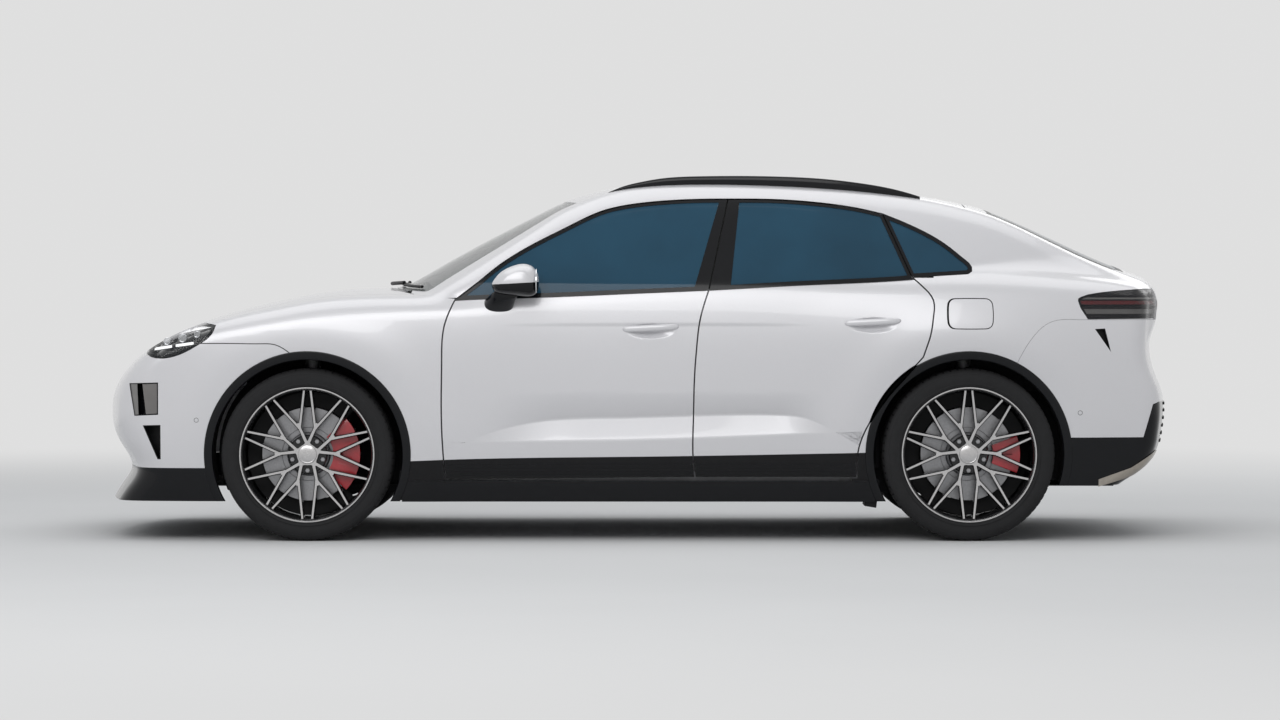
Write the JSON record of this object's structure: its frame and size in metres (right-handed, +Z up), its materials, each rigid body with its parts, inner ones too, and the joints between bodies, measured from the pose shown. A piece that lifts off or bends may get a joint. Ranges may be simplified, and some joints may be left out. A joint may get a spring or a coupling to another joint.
{
  "type": "electric sport utility vehicle",
  "caption": "Five-door battery-electric SUV with a sloping coupe roof, opening doors, hood, tailgate and charge flaps, steering and turning wheels.",
  "frame": {"origin": "on the ground, under the middle of the vehicle's length and width", "axes": "+Z up, -X towards the nose, -Y towards the vehicle's left side"},
  "size_m": [4.777, 2.144, 1.606],
  "materials": {
    "battery": "satin",
    "black_trim": "gloss",
    "cabin_plastic": "matte",
    "cast_metal": "matte",
    "clear_glass": "gloss",
    "dark_plastic": "matte",
    "frame_steel": "satin",
    "lamp": "gloss",
    "paint": "pearl",
    "rubber": "matte",
    "side_glass": "gloss",
    "upholstery": "satin",
    "wheel_metal": "machined"
  },
  "bodies": {
    "chassis": {"arch_trims": "black_trim", "battery_pack": "battery", "body_frame": "frame_steel", "bumper_lamps": "lamp", "center_console": "cabin_plastic", "charge_ports": "dark_plastic", "cowl_panel": "dark_plastic", "dashboard": "cabin_plastic", "drive_motors": "battery", "floor_pan": "frame_steel", "front_bumper": "paint", "front_fenders": "paint", "front_seats": "upholstery", "front_splitter": "dark_plastic", "front_suspension": "cast_metal", "front_trunk": "dark_plastic", "headlights": "lamp", "quarter_glass": "side_glass", "quarter_panels": "paint", "rear_bumper": "paint", "rear_diffuser": "dark_plastic", "rear_knuckles": "cast_metal", "rear_rails": "frame_steel", "rear_seat": "upholstery", "rear_suspension": "cast_metal", "roof_panel": "paint", "roof_rails": "black_trim", "roof_sides": "paint", "sill_covers": "dark_plastic", "steering_column": "cabin_plastic", "tail_lights": "lamp", "undertrays": "dark_plastic", "wheel_liners": "dark_plastic", "windshield": "clear_glass"},
    "charge_door_left": {"charge_door_left": "paint"},
    "charge_door_right": {"charge_door_right": "paint"},
    "front_door_left": {"front_door_glass_left": "side_glass", "front_door_left": "paint", "mirror_left": "paint"},
    "front_door_right": {"front_door_glass_right": "side_glass", "front_door_right": "paint", "mirror_right": "paint"},
    "front_knuckle_left": {"front_knuckle_left": "cast_metal"},
    "front_knuckle_right": {"front_knuckle_right": "cast_metal"},
    "front_wheel_left": {"front_rim_left": "wheel_metal", "front_tyre_left": "rubber"},
    "front_wheel_right": {"front_rim_right": "wheel_metal", "front_tyre_right": "rubber"},
    "hood": {"hood": "paint"},
    "rear_door_left": {"rear_door_glass_left": "side_glass", "rear_door_left": "paint"},
    "rear_door_right": {"rear_door_glass_right": "side_glass", "rear_door_right": "paint"},
    "rear_wheel_left": {"rear_rim_left": "wheel_metal", "rear_tyre_left": "rubber"},
    "rear_wheel_right": {"rear_rim_right": "wheel_metal", "rear_tyre_right": "rubber"},
    "steering_wheel": {"steering_wheel": "upholstery"},
    "tailgate": {"tailgate": "paint", "tailgate_glass": "side_glass"}
  },
  "joints": [
    {"name": "steer_left", "type": "hinge", "parent": "chassis", "child": "front_knuckle_left", "pos_m": [-1.442, -0.753, 0.377], "axis": [0, 0, 1], "range_deg": [-34, 34]},
    {"name": "steer_right", "type": "hinge", "parent": "chassis", "child": "front_knuckle_right", "pos_m": [-1.442, 0.753, 0.377], "axis": [0, 0, 1], "range_deg": [-34, 34]},
    {"name": "steering_column", "type": "hinge", "parent": "chassis", "child": "steering_wheel", "pos_m": [-0.405, -0.375, 0.965], "axis": [0.9135, 0, 0.4067], "range_deg": [-493, 493]},
    {"name": "front_left_wheel_spin", "type": "hinge", "parent": "front_knuckle_left", "child": "front_wheel_left", "pos_m": [-1.442, -0.832, 0.377], "axis": [0, 1, 0], "continuous": true},
    {"name": "rear_left_wheel_spin", "type": "hinge", "parent": "chassis", "child": "rear_wheel_left", "pos_m": [1.45, -0.82, 0.377], "axis": [0, 1, 0], "continuous": true},
    {"name": "front_left_door_hinge", "type": "hinge", "parent": "chassis", "child": "front_door_left", "pos_m": [-0.822, -0.923, 0.7], "axis": [0, 0, -1], "range_deg": [0, 65]},
    {"name": "rear_left_door_hinge", "type": "hinge", "parent": "chassis", "child": "rear_door_left", "pos_m": [0.305, -0.93, 0.7], "axis": [0, 0, -1], "range_deg": [0, 68]},
    {"name": "charge_left_flap_hinge", "type": "hinge", "parent": "chassis", "child": "charge_door_left", "pos_m": [1.362, -0.962, 0.992], "axis": [0, -0.2095, -0.9778], "range_deg": [0, 95]},
    {"name": "front_right_wheel_spin", "type": "hinge", "parent": "front_knuckle_right", "child": "front_wheel_right", "pos_m": [-1.442, 0.832, 0.377], "axis": [0, 1, 0], "continuous": true},
    {"name": "rear_right_wheel_spin", "type": "hinge", "parent": "chassis", "child": "rear_wheel_right", "pos_m": [1.45, 0.82, 0.377], "axis": [0, 1, 0], "continuous": true},
    {"name": "front_right_door_hinge", "type": "hinge", "parent": "chassis", "child": "front_door_right", "pos_m": [-0.822, 0.923, 0.7], "axis": [0, 0, 1], "range_deg": [0, 65]},
    {"name": "rear_right_door_hinge", "type": "hinge", "parent": "chassis", "child": "rear_door_right", "pos_m": [0.305, 0.93, 0.7], "axis": [0, 0, 1], "range_deg": [0, 68]},
    {"name": "charge_right_flap_hinge", "type": "hinge", "parent": "chassis", "child": "charge_door_right", "pos_m": [1.362, 0.962, 0.992], "axis": [0, -0.2095, 0.9778], "range_deg": [0, 95]},
    {"name": "hood_hinge", "type": "hinge", "parent": "chassis", "child": "hood", "pos_m": [-0.95, 0, 1.1], "axis": [0, 1, 0], "range_deg": [0, 52]},
    {"name": "tailgate_hinge", "type": "hinge", "parent": "chassis", "child": "tailgate", "pos_m": [1.465, 0, 1.5], "axis": [0, -1, 0], "range_deg": [0, 72]}
  ],
  "couplings": [
    {"joint": "steer_right", "follows": "steer_left", "ratio": 1},
    {"joint": "steering_column", "follows": "steer_left", "ratio": 14.5}
  ]
}
